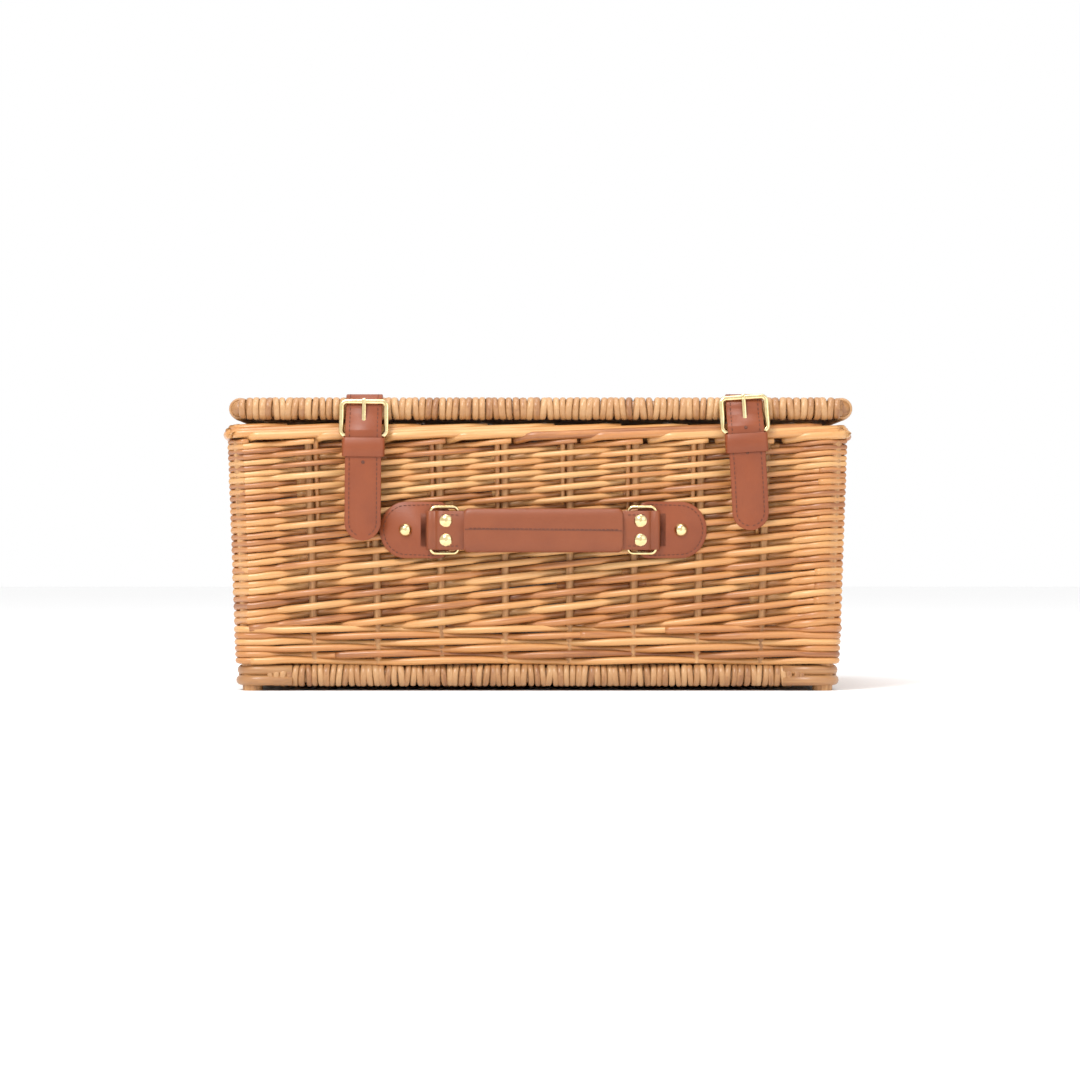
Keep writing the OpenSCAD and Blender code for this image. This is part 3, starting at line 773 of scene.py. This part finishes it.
weave_walls()
weave_band()
weave_rim()
inserted_stakes()
lid_rails()
base_rails()
panel_low, panel_high = node_box("lid_weave")
weave_panel("lid_weave_rods", "lid_weave", "lid_sticks", 8, (panel_low[2] + panel_high[2]) / 2, 3.7, "lid")
floor_low = node_box("base_sticks")[0]
weave_panel("base_weave_rods", "base_weave", "base_sticks", 9, floor_low[2] + 1.0, 3.2, "basket")

# ---------- leather ----------

STRAP_T = 1.8
STRAP_FACE = -(STRAP_T / 2 + 0.05)
STRAP_BEND = 9.1
STRAP_Z = 204.0
FIRST_HOLE = {"left": 176.6, "right": 184.0}
HOLE_PITCH = 15.8
BUCKLE_H = 23.8
BUCKLE_BAR_INSET = 1.34
KEEPER_H = 13.4
LEATHER_T = 1.6
PIVOT_DEPTH = 2.95
LOOP_DEPTH = 4.9
RING_SPAN = 19.0


class Local:
    """Frame with an origin and two directions; the third is square to them."""

    def __init__(self, origin, ex, up):
        self.origin = np.array(origin, float)
        self.ex = np.array(ex, float)
        self.up = np.array(up, float)
        self.back = np.cross(self.up, self.ex)

    def __call__(self, points):
        """Points given as (along ex, back, up), placed in the shared frame."""
        points = np.asarray(points, float)
        spread = points[..., 0:1] * self.ex + points[..., 1:2] * self.back + points[..., 2:3] * self.up
        return self.origin + spread


def curve(points, step=1.2):
    """Points of a smooth line through the given ones."""
    points = np.asarray(points, float)
    padded = np.concatenate([[2 * points[0] - points[1]], points, [2 * points[-1] - points[-2]]])
    out = []
    for a, b, c, d in zip(padded[:-3], padded[1:-2], padded[2:-1], padded[3:]):
        count = max(1, int(np.linalg.norm(c - b) / step))
        for i in range(count):
            t = i / count
            out.append(0.5 * (2 * b + (c - a) * t + (2 * a - 5 * b + 4 * c - d) * t ** 2
                              + (3 * b - a - 3 * c + d) * t ** 3))
    out.append(points[-1])
    return np.array(out)


def bow(centre, r, start, end, count=10):
    """Arc in a plane, with angles in degrees."""
    return [(centre[0] + r * math.cos(math.radians(a)), centre[1] + r * math.sin(math.radians(a)))
            for a in np.linspace(start, end, count)]


def normals(course):
    """Unit normal at each point of a flat course."""
    ahead = np.concatenate([course[1:], course[-1:]])
    behind = np.concatenate([course[:1], course[:-1]])
    tangent = ahead - behind
    tangent /= np.linalg.norm(tangent, axis=1)[:, None]
    return np.stack([-tangent[:, 1], tangent[:, 0]], axis=1)


def strip_rings(course, half, thick, upright=False, edge=0.45):
    """Rings of a flat band along course, with rounded edges; upright bands are wide along up."""
    course = np.asarray(course, float)
    side = normals(course)
    half = np.broadcast_to(np.asarray(half, float), len(course))
    rings = []
    for point, out, w in zip(course, side, half):
        h = thick / 2
        e = min(edge, w * 0.6)
        outline = ((-w + e, h), (0, h), (w - e, h), (w, h - edge), (w, edge - h),
                   (w - e, -h), (0, -h), (-w + e, -h), (-w, edge - h), (-w, h - edge))
        ring = []
        for across, depth in outline:
            spot = point + out * depth
            ring.append((spot[0], spot[1], across) if upright else (across, spot[0], spot[1]))
        rings.append(ring)
    return np.array(rings)


def stitch(builder, a, b, radius=0.33):
    """One stitch between two points."""
    a, b = np.array(a, float), np.array(b, float)
    path = [a, a + (b - a) * 0.12, a + (b - a) * 0.5, b - (b - a) * 0.12, b]
    ref = (0, 0, 1) if abs((b - a)[2]) < 0.7 * np.linalg.norm(b - a) else (1, 0, 0)
    rings = sweep(path, np.array([0.3, 0.9, 1.0, 0.9, 0.3]) * radius, sides=6, ref=ref)
    builder.add(rings, 0.5, lengths(np.array(path)))


def stitch_line(builder, line, pitch=3.4, long=2.3):
    """Row of stitches along a line."""
    line = np.asarray(line, float)
    reach = lengths(line)
    place = pitch * 0.3
    while place + long < reach[-1]:
        ends = [[np.interp(p, reach, line[:, k]) for k in range(3)] for p in (place, place + long)]
        stitch(builder, *ends)
        place += pitch


def hang_frame(side):
    """Frame of a hanging strap: turned about the lid's front edge."""
    place = joint_place("strap_" + side + "_lift")
    axis = joint_axis("strap_" + side + "_lift")
    ex = np.array((-axis[0], 0, -axis[2]))
    return Local((place[0], 0, place[2]), ex, (-ex[2], 0, ex[0])), place


def tip_widths(course, half):
    """Half width along a course that ends in a half round tip."""
    left = lengths(course)[-1] - lengths(course)
    inside = np.clip(half - left, 0, half)
    return np.sqrt(np.clip(half * half - inside * inside, 0.02, None))


def outward(course):
    """Offset to the outer face of a strap course."""
    return normals(course) * STRAP_FACE


def strap_course(side, y, top, lift):
    """Course of a strap, as (y, z): along the lid, round the bend and down through the buckle."""
    tail_z = node_box("strap_tail_" + side)[0][2]
    start_y = node_box("strap_top_" + side)[1][1]
    flat = [(start_y, STRAP_Z), (y + 31, STRAP_Z)] + bow((y + STRAP_BEND, top), STRAP_BEND, 78, 172, 8)
    hang = [(y, top), (y - 1.6, top - 4.5), (y - 4.6, top - 9.5 + lift / 2), (y - 7.3, top - 14.5 + lift),
            (y - 8.0, top - 19.5 + lift), (y - 8.0, top - 46), (y - 6.4, top - 60),
            (y - 3.4, tail_z + 13), (y - 2.8, tail_z)]
    course = curve(flat + hang, 1.0)
    return np.concatenate([course[:-1], curve(course[-2:], 0.12)])


def strap_sewing(side, course, half, y, place_on):
    """Stitches along both edges of a strap, and painted shade for its two holes: dark thread-coloured discs
    on its face, as no hole is cut.
    """
    sewing = Builder()
    reach = lengths(course)
    left = reach[-1] - reach
    inset = 3.0
    keep = (reach > 4) & (reach < reach[-1] - inset)
    width = np.sqrt(np.clip((half - inset) ** 2 - np.clip(half - left, 0, None) ** 2, 0, None))
    face = course + outward(course)
    for sign in (-1, 1):
        line = np.stack([sign * width, face[:, 0], face[:, 1]], axis=1)[keep]
        stitch_line(sewing, place_on(line))
    for k in range(2):
        z = FIRST_HOLE[side] - HOLE_PITCH * k
        i = int(np.argmin(np.abs(course[:, 1] - z) + (course[:, 0] > y) * 99))
        spot = np.array((0, *face[i]))
        # Painted shade: a dark thread-coloured disc on the strap's face stands in for the shadow inside each
        # hole.
        hole_shade_disc = [spot + np.array((0, 0.25, 0)), spot + np.array((0, -0.03, 0))]
        sewing.add(place_on(sweep(hole_shade_disc, 1.25, sides=16)), 0.5, np.array((0, 1)))
    return sewing.piece("strap_" + side + "_stitching", thread)


def strap(side, lift):
    """One strap from the lid, round its front edge, through the buckle to its tip."""
    frame_at, place = hang_frame(side)
    x, y, top = place
    top_low, top_high = node_box("strap_top_" + side)
    half = (top_high[0] - top_low[0]) / 2
    course = strap_course(side, y, top, lift)
    start = np.clip(lengths(course) / 2.5, 0, 1)
    widths = tip_widths(course, half) * (0.86 + 0.14 * np.sqrt(start))

    def place_on(points):
        return place_strap(frame_at, place, points)

    builder = Builder()
    builder.add(place_on(strip_rings(course, widths, STRAP_T)), 0.5, lengths(course))
    obj = builder.piece("strap_" + side + "_leather", leather, 50)
    sewn = strap_sewing(side, course, half, y, place_on)
    for piece in (obj, sewn):
        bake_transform(piece)
    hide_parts("strap_top_" + side, "strap_tail_" + side)


def place_strap(frame_at, place, points):
    """Straight above the bend, turned with the hanging strap below it."""
    points = np.asarray(points, float)
    straight = points + np.array((place[0], 0, 0))
    shifted = points - np.array((0, 0, place[2]))
    axes = np.array([frame_at.ex, (0, 1, 0), frame_at.up])
    hung = np.array((place[0], 0, place[2])) + shifted @ axes
    share = smooth((place[2] + 1 - points[..., 2:3]) / 4) * (points[..., 1:2] < place[1] + 6)
    return straight * (1 - share) + hung * share


def round_loop(half_a, half_b, r, per_corner=6):
    """Closed rectangle with round corners, as (a, b) points."""
    points = []
    for sa, sb, start in ((1, 1, 0), (-1, 1, 90), (-1, -1, 180), (1, -1, 270)):
        centre = (sa * (half_a - r), sb * (half_b - r))
        points += bow(centre, r, start, start + 90, per_corner)
    return np.array(points)


def buckle_bar(side):
    """Middle of the buckle's lower bar, and how far back its upper bar lies."""
    return joint_place("buckle_" + side + "_tilt"), node_box("buckle_" + side)[1][1] - BUCKLE_BAR_INSET


def buckle(side):
    """Wire buckle with round corners."""
    frame_at, _ = hang_frame(side)
    heel, bar_y = buckle_bar(side)
    up = frame_at.up * BUCKLE_H + np.array((0, bar_y - heel[1], 0))
    length = np.linalg.norm(up)
    up /= length
    middle = heel + up * length / 2
    path = np.array([middle + a * frame_at.ex + b * up for a, b in round_loop(15.7, length / 2, 3.4, 7)])
    rings = sweep(path, 1.4, sides=12, ref=np.cross(up, frame_at.ex), flat=1.3, closed=True)
    builder = Builder()
    builder.add(rings, 0.5, lengths(path), closed=True)
    obj = builder.piece("buckle_" + side + "_wire", brass)
    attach(obj, "buckle_" + side)
    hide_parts("buckle_" + side)


def prong(side):
    """Prong curled round the buckle's lower bar; its tip lies on the upper bar."""
    frame_at, _ = hang_frame(side)
    heel, bar_y = buckle_bar(side)
    top_z = heel[2] + BUCKLE_H
    curl = bow((heel[1], heel[2]), 1.9, 130, -170, 16)
    run = [(heel[1] - 1.75, heel[2] + 1.4), (heel[1] - 1.2, heel[2] + 5.5), (bar_y - 2.3, top_z - 3),
           (bar_y - 2.35, top_z), (bar_y - 2.1, top_z + 2.3)]
    path = np.array([heel + (z - heel[2]) * frame_at.up + np.array((0, y - heel[1], 0))
                     for y, z in curve(curl + run, 0.8)])
    radius = np.concatenate([np.full(len(path) - 8, 1.45), np.linspace(1.45, 1.2, 8)])
    builder = Builder()
    builder.add(sweep(path, radius, sides=12, ref=frame_at.ex, flat=0.42), 0.5, lengths(path))
    obj = builder.piece("prong_" + side + "_wire", brass)
    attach(obj, "prong_" + side)
    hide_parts("prong_" + side)


def keeper(side):
    """Closed leather loop with rounded corners."""
    frame_at, place = hang_frame(side)
    low, high = node_box("keeper_" + side)
    slide = ((low[2] + high[2]) / 2 - place[2]) / frame_at.up[2]
    centre = np.array((place[0], (low[1] + high[1]) / 2, place[2])) + slide * frame_at.up
    h, t, e = KEEPER_H / 2, 0.65, 0.35
    outline = ((-h + e, t), (h - e, t), (h, t - e), (h, e - t),
               (h - e, -t), (-h + e, -t), (-h, e - t), (-h, t - e))
    loop = round_loop(14.3, (high[1] - low[1]) / 2 - t, 2.6, 6)
    tangents = np.roll(loop, -1, axis=0) - np.roll(loop, 1, axis=0)
    tangents /= np.linalg.norm(tangents, axis=1)[:, None]
    rings = []
    for (x, y), (run_x, run_y) in zip(loop, tangents):
        rings.append([centre + (x + run_y * depth) * frame_at.ex + np.array((0, y - run_x * depth, 0))
                      + across * frame_at.up for across, depth in outline])
    builder = Builder()
    builder.add(np.array(rings), 0.5, np.arange(len(rings)) * 2.0, closed=True)
    obj = builder.piece("keeper_" + side + "_leather", leather, 50)
    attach(obj, "keeper_" + side)
    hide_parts("keeper_" + side)


def front_frame():
    """Frame on the leaning front wall at the handle's centre, and the reach of the ring pivots."""
    left, right = joint_place("ring_left_turn"), joint_place("ring_right_turn")
    middle = (left + right) / 2
    origin = middle - joint_axis("handle_pull") * PIVOT_DEPTH
    return Local(origin, (1, 0, 0), joint_axis("ring_left_turn")), (right[0] - left[0]) / 2


def shrunk(outline, inset):
    """Outline with each point moved towards the middle by inset."""
    middle = outline.mean(axis=0)
    away = outline - middle
    return middle + away * (1 - inset / np.linalg.norm(away, axis=1)[:, None])


def outline_plate(builder, outline, thick, base, place):
    """Flat plate with a softly rounded rim: outline is (x, z), base its lower depth outwards."""
    rings = []
    for inset, depth in ((0.0, base), (0.0, base + thick - 0.5), (0.45, base + thick)):
        rings.append([(x, -depth, z) for x, z in shrunk(outline, inset)])
    builder.add(place(np.array(rings)), 0.5, np.arange(3) * 1.0)


def patch_outline(side, sign, pivot):
    """Outline of a patch, as (x, z): a round outer end and rounded inner corners."""
    low, high = node_box("patch_" + side)
    centre_x = (joint_place("ring_left_turn")[0] + joint_place("ring_right_turn")[0]) / 2
    outer = (high[0] if sign > 0 else -low[0]) - sign * centre_x
    inner = pivot + 6.2
    half, corner = 20.0, 8
    reach = half * 0.92
    turn = np.radians(np.linspace(-90, 90, 25))
    outline = list(zip(outer - reach + reach * np.cos(turn), half * np.sin(turn)))
    outline += bow((inner + corner, half - corner), corner, 90, 180, 8)
    outline += bow((inner + corner, corner - half), corner, 180, 270, 8)
    outline = np.array([(sign * x, z) for x, z in outline])
    return outline if sign > 0 else outline[::-1]


def patch(side, sign, place, pivot):
    """Stitched patch with a round outer end; its tongue folds round the ring's inner bar."""
    outline = patch_outline(side, sign, pivot)
    builder = Builder()
    outline_plate(builder, outline, LEATHER_T, 0.05, place)
    inner = pivot + 6.2
    course = [(inner + 20, -0.85), (pivot + 0.4, -0.85)] + bow((pivot, -PIVOT_DEPTH), 2.1, 90, 270, 9)
    course += [(pivot + 3, -LOOP_DEPTH), (pivot + 8, -2.5), (pivot + 12, -2.5)]
    course = curve(course, 0.8)
    rings = strip_rings([(sign * a, b) for a, b in course], 12.0, LEATHER_T, upright=True)
    builder.add(place(rings), 0.5, lengths(course))
    obj = builder.piece("patch_" + side + "_leather", leather, 50)
    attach(obj, "basket")
    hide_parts("patch_" + side)
    sewing = Builder()
    line = shrunk(outline, 2.7)
    line = np.concatenate([line, line[:1]])
    points = np.array([(x, -(0.05 + LEATHER_T + 0.03), z) for x, z in line])
    stitch_line(sewing, place(points), 3.2, 2.1)
    sewn = sewing.piece("patch_" + side + "_stitching", thread)
    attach(sewn, "basket")


def ring(side, sign, place, pivot):
    """Wire ring with round corners between a patch and the handle strap."""
    half = RING_SPAN / 2
    tilt = math.atan2(LOOP_DEPTH - PIVOT_DEPTH, RING_SPAN)
    path = []
    for a, b in round_loop(half + 1e-3, 16.2, 3.2, 6):
        x = sign * (pivot + half + a * math.cos(tilt))
        path.append((x, -(PIVOT_DEPTH + (half + a) * math.sin(tilt)), b))
    world = place(np.array(path))
    builder = Builder()
    builder.add(sweep(world, 1.25, sides=12, ref=place.back, closed=True), 0.5, lengths(world), closed=True)
    obj = builder.piece("ring_" + side + "_wire", brass)
    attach(obj, "ring_" + side)
    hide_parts("ring_" + side)


HANDLE_HALF = 57.0
HANDLE_LOOP_X = 79.0


def handle_strap(place, sewing):
    """Handle strap whose ends fold round the rings and are stitched."""
    builder = Builder()
    for sign in (-1, 1):
        course = [(HANDLE_HALF - 6, -9.6), (HANDLE_HALF + 6, -9.6), (HANDLE_LOOP_X - 6.7, -9.6),
                  (HANDLE_LOOP_X - 3.4, -LOOP_DEPTH - 2.25)]
        course += bow((HANDLE_LOOP_X, -LOOP_DEPTH), 2.3, -88, 88, 10)
        course += [(HANDLE_LOOP_X - 3.4, -LOOP_DEPTH + 2.25), (HANDLE_LOOP_X - 8.4, -7.95),
                   (HANDLE_HALF, -7.95)]
        course = curve(course, 0.8)
        rings = strip_rings([(sign * a, b) for a, b in course], 13.7, LEATHER_T, upright=True)
        builder.add(place(rings), 0.5, lengths(course))
        for z in (-11.0, 11.0):
            xs = np.linspace(HANDLE_HALF + 1.5, HANDLE_LOOP_X - 7.5, 8)
            stitch_line(sewing, place(np.array([(sign * x, -10.45, z) for x in xs])), 3.2, 2.1)
    obj = builder.piece("handle_strap_leather", grip_leather, 50)
    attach(obj, "handle")
    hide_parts("handle_strap")


def handle_grip(place):
    """Rounded grip, slightly fuller in the middle."""
    tall, thick = 15.5, 4.6
    reach = HANDLE_HALF * 0.975
    near_end = np.array((0, 0.5, 1.5, 3.0))
    xs = np.concatenate([near_end - HANDLE_HALF, np.linspace(6 - HANDLE_HALF, HANDLE_HALF - 6, 40),
                         HANDLE_HALF - near_end[::-1]]) * 0.975
    turn = 2 * math.pi * np.arange(36) / 36
    tall_way = np.copysign(np.abs(np.sin(turn)) ** 0.62, np.sin(turn))
    thick_way = np.copysign(np.abs(np.cos(turn)) ** 0.62, np.cos(turn))
    rings = []
    for x in xs:
        full = 1 - 0.12 * max(0.0, 1 - (reach - abs(x)) / 3.0) ** 2
        swell = 1 + 0.03 * math.cos(x / HANDLE_HALF * math.pi / 2)
        depth = thick * full * swell * thick_way - 10.0
        rings.append(np.stack([np.full(36, x), depth, tall * full * tall_way], axis=1))
    builder = Builder()
    builder.add(place(np.array(rings)), 0.5, xs - xs[0])
    obj = builder.piece("handle_grip_leather", grip_leather, 60)
    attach(obj, "handle")
    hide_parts("handle_grip")


def handle(place):
    """Handle strap and grip, with the stitches of both and the grip's sewn seam, whose groove is painted as a
    dark line of shade.
    """
    sewing = Builder()
    handle_strap(place, sewing)
    handle_grip(place)
    seam = [(x, -14.72, 1.2 - 0.01 * x) for x in np.linspace(4 - HANDLE_HALF, HANDLE_HALF - 4, 60)]
    stitch_line(sewing, place(np.array(seam)), 3.0, 2.5)
    # Painted shade: a thin dark thread-coloured line laid on the grip stands in for the shadow in the seam's
    # groove.
    seam_shade_line = [(x, -14.62, 0.4 - 0.01 * x) for x in np.linspace(2 - HANDLE_HALF, HANDLE_HALF - 2, 60)]
    sewing.add(place(sweep(seam_shade_line, 0.28, sides=6)), 0.5, np.linspace(0, 2 * HANDLE_HALF, 60))
    sewn = sewing.piece("handle_stitching", thread)
    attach(sewn, "handle")


for strap_side, strap_lift in (("left", 0.0), ("right", 3.0)):
    strap(strap_side, strap_lift)
    buckle(strap_side)
    prong(strap_side)
    keeper(strap_side)
wall_place, ring_pivot = front_frame()
for part_side, part_sign in (("left", -1), ("right", 1)):
    patch(part_side, part_sign, wall_place, ring_pivot)
    ring(part_side, part_sign, wall_place, ring_pivot)
handle(wall_place)

# ---------- lining ----------


def lining_ring(half_x, half_y, cut, z, wrinkle):
    """Closed outline with cut corners, split finely, with slight wrinkles."""
    in_x, in_y = half_x - cut, half_y - cut
    corners = [(-in_x, -half_y), (in_x, -half_y), (half_x, -in_y), (half_x, in_y),
               (in_x, half_y), (-in_x, half_y), (-half_x, in_y), (-half_x, -in_y)]
    ring = []
    for i, (a, b) in enumerate(zip(corners, corners[1:] + corners[:1])):
        count = (24, 3, 16, 3)[i % 4]
        for k in range(count):
            x, y = (a[j] + (b[j] - a[j]) * k / count for j in (0, 1))
            inward = 1 - wrinkle * (1 + math.sin(0.11 * x + 0.17 * y + 0.05 * z)) / 200
            ring.append((x * inward, y * inward + CENTRE_Y, z))
    return ring


def lining():
    """Thin cloth box inside the basket: four sides and a floor, open at the top."""
    low, high = node_box("lining")
    tall = high[2] - low[2]
    floor_z, corner = low[2] + 0.7, 13
    top_x, top_y = (high[0] - low[0]) / 2 - 0.5, (high[1] - low[1]) / 2 - 0.5
    rings = []
    for share in np.linspace(1, 0, 13):
        shrink = FLARE * tall * (1 - share)
        z = floor_z + (tall - 0.7) * share
        rings.append(lining_ring(top_x - shrink, top_y - shrink, corner, z, 0.9))
    floor_x, floor_y = top_x - FLARE * tall, top_y - FLARE * tall
    for share in np.linspace(0.97, 0.02, 14):
        rings.append(lining_ring(floor_x * share, floor_y * share, corner * share, floor_z, 0.0))
    builder = Builder()
    builder.add(np.array(rings), 0.5, np.arange(len(rings)) * 12.0, caps=(False, True))
    obj = builder.piece("lining_cloth", cloth, 40)
    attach(obj, "basket")
    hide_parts("lining")


lining()

STICK_NODES = ("base_sticks", "front_stakes", "back_stakes", "left_stakes", "right_stakes",
               "corner_posts", "lid_sticks", "handle_core")
BRASS_NODES = ("hinge_rivets", "strap_rivets", "chape_rivets", "patch_studs", "stud_washers", "handle_rivets")
LEATHER_NODES = ("hinge_strap_left", "hinge_strap_right", "chape_left", "chape_right")


def paint(names, material):
    """Gives CAD nodes their material."""
    for name in names:
        node = frame["nodes"][name]
        node.data.materials.clear()
        node.data.materials.append(material)


paint(STICK_NODES, stick_wood)
paint(BRASS_NODES, brass)
paint(LEATHER_NODES, leather)

# ---------- studio ----------


LIGHTS = (("key", (-0.7, -1.5, 1.7), 34, 0.7), ("fill", (1.3, -1.5, 0.9), 6, 1.2),
          ("top", (0, -0.2, 2.0), 14, 1.0))


def studio():
    """Pale floor, white surroundings and soft lights."""
    mesh = bpy.data.meshes.new("floor")
    size = 6.0
    corners = [(-size, -size, 0), (size, -size, 0), (size, size, 0), (-size, size, 0)]
    mesh.from_pydata(corners, [], [(0, 1, 2, 3)])
    floor = bpy.data.objects.new("floor", mesh)
    bpy.context.scene.collection.objects.link(floor)
    material, tree, shader = new_material("floor_paint")
    fill(tree, shader, {"Base Color": (0.93, 0.93, 0.93, 1), "Roughness": 0.9})
    mesh.materials.append(material)
    world = bpy.data.worlds.new("world")
    world.use_nodes = True
    fill(world.node_tree, world.node_tree.nodes["Background"], {0: (1, 1, 1, 1), 1: 1.0})
    bpy.context.scene.world = world
    for name, place, power, width in LIGHTS:
        light = bpy.data.lights.new(name, "AREA")
        light.energy = power
        light.size = width
        lamp = bpy.data.objects.new(name, light)
        lamp.location = place
        bpy.context.scene.collection.objects.link(lamp)
        point_at(lamp, (0, 0, 0.1))


def point_at(obj, target):
    """Turns an object so that it looks at target."""
    direction = Vector(target) - obj.location
    obj.rotation_euler = direction.to_track_quat("-Z", "Y").to_euler()


def camera():
    """Level camera straight in front, far enough to be almost free of perspective."""
    data = bpy.data.cameras.new("camera")
    data.lens = 130
    data.sensor_width = 36
    view_width = 0.756
    distance = data.lens / data.sensor_width * view_width
    cam = bpy.data.objects.new("camera", data)
    front = cad_box[0][1]
    cam.location = (0.00175, front - distance, 0.1064)
    cam.rotation_euler = (math.pi / 2, 0, 0)
    bpy.context.scene.collection.objects.link(cam)
    bpy.context.scene.camera = cam


studio()
camera()
bpy.context.scene.view_settings.view_transform = "Standard"
